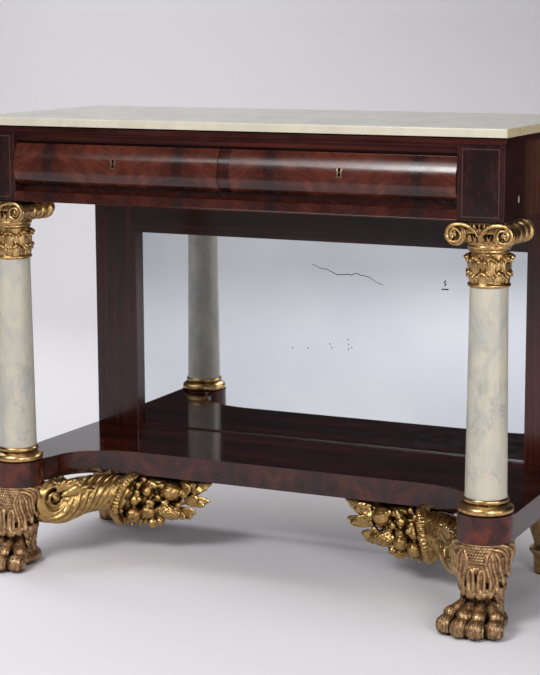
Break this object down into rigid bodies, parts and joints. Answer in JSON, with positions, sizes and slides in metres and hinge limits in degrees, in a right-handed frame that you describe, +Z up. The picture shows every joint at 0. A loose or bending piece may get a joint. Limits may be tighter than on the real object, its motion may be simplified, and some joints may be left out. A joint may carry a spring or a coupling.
{
  "type": "pier table",
  "caption": "Pier table: marble slab on a mahogany frieze with cushion-fronted drawers, marble columns with gilt capitals, mirror back, concave shelf, carved paw feet.",
  "frame": {"origin": "middle of the footprint's box at floor level", "axes": "+X to the right seen from the front, +Y from the front to the wall, +Z up"},
  "size_m": [1.178, 0.56, 0.94],
  "materials": {
    "mahogany": "french-polished crotch mahogany veneer",
    "poplar": "planed, unfinished, aged",
    "boxwood": "inlaid, polished",
    "top_marble": "honed",
    "column_marble": "polished",
    "gilding": "gold leaf over red bole on carved wood",
    "brass": "polished, tarnished",
    "iron": "wrought, oiled",
    "lock_steel": "filed",
    "mirror_glass": "old silvering with small flaws"
  },
  "bodies": {
    "table": {"backboard_screws": "iron", "block_stringing": "boxwood", "capital_left": "gilding", "capital_right": "gilding", "column_base_left": "gilding", "column_base_right": "gilding", "column_drum_left": "mahogany", "column_drum_right": "mahogany", "column_shaft_left": "column_marble", "column_shaft_right": "column_marble", "column_tie_rods": "iron", "corner_block_left": "mahogany", "corner_block_right": "mahogany", "cornucopia_left": "gilding", "cornucopia_right": "gilding", "drawer_centre_bearer": "poplar", "drawer_guides": "poplar", "drawer_kickers": "poplar", "drawer_muntin": "mahogany", "drawer_runners": "poplar", "drawer_stops": "poplar", "foot_dowels": "poplar", "frieze_back_rail": "poplar", "frieze_end_panel_left": "mahogany", "frieze_end_panel_right": "mahogany", "frieze_lower_rail": "mahogany", "frieze_moulding_end_left": "mahogany", "frieze_moulding_end_right": "mahogany", "frieze_moulding_front": "mahogany", "frieze_upper_rail": "mahogany", "glue_blocks": "poplar", "marble_battens": "poplar", "marble_top": "top_marble", "mirror_backboards": "poplar", "mirror_bead": "mahogany", "mirror_glass": "mirror_glass", "mirror_stile_left": "mahogany", "mirror_stile_right": "mahogany", "mirror_top_rail": "mahogany", "paw_foot_left": "gilding", "paw_foot_right": "gilding", "rear_foot_left": "gilding", "rear_foot_right": "gilding", "shelf": "mahogany"},
    "drawer_left": {"drawer_front_left": "mahogany", "drawer_outer_side_left": "poplar", "drawer_inner_side_left": "poplar", "drawer_back_left": "poplar", "drawer_bottom_left": "poplar", "lock_case_left": "lock_steel", "escutcheon_left": "brass"},
    "drawer_right": {"drawer_front_right": "mahogany", "drawer_outer_side_right": "poplar", "drawer_inner_side_right": "poplar", "drawer_back_right": "poplar", "drawer_bottom_right": "poplar", "lock_case_right": "lock_steel", "escutcheon_right": "brass"},
    "lock_bolt_left": {"lock_bolt_left": "lock_steel"},
    "lock_bolt_right": {"lock_bolt_right": "lock_steel"}
  },
  "joints": [
    {"name": "drawer_left_slide", "type": "slide", "parent": "table", "child": "drawer_left", "axis": [0, -1, 0], "range_m": [0, 0.33]},
    {"name": "drawer_right_slide", "type": "slide", "parent": "table", "child": "drawer_right", "axis": [0, -1, 0], "range_m": [0, 0.33]},
    {"name": "lock_bolt_left_slide", "type": "slide", "parent": "drawer_left", "child": "lock_bolt_left", "axis": [0, 0, 1], "range_m": [0, 0.008]},
    {"name": "lock_bolt_right_slide", "type": "slide", "parent": "drawer_right", "child": "lock_bolt_right", "axis": [0, 0, 1], "range_m": [0, 0.008]}
  ]
}
